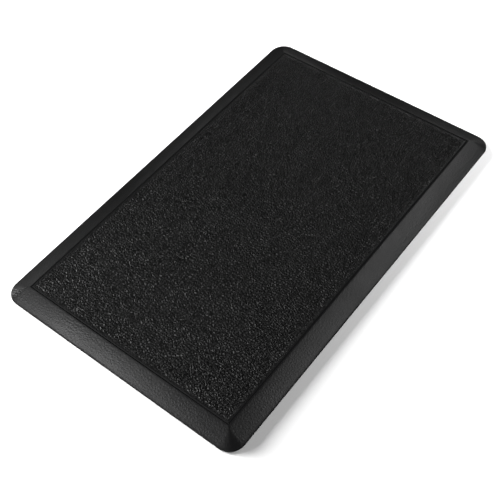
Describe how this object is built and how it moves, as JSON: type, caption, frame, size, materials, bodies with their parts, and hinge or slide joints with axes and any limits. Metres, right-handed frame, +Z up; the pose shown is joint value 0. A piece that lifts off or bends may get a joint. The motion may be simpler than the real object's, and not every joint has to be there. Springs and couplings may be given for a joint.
{
  "type": "anti-fatigue mat",
  "caption": "Rectangular cushioned standing mat with rounded corners, wide bevelled edges, a moulded groove round a grained field, and an anti-slip underside.",
  "frame": {"origin": "middle of the underside, on the floor", "axes": "+X across the mat, +Y along its length, +Z up out of the standing face"},
  "size_m": [0.508, 0.813, 0.016],
  "materials": {
    "skin": "satin",
    "soft_foam": "matte",
    "firm_foam": "matte",
    "base": "matte"
  },
  "bodies": {
    "root": {"top_skin": "skin", "cushion_foam": "soft_foam", "support_foam": "firm_foam", "base_sheet": "base"}
  },
  "joints": []
}
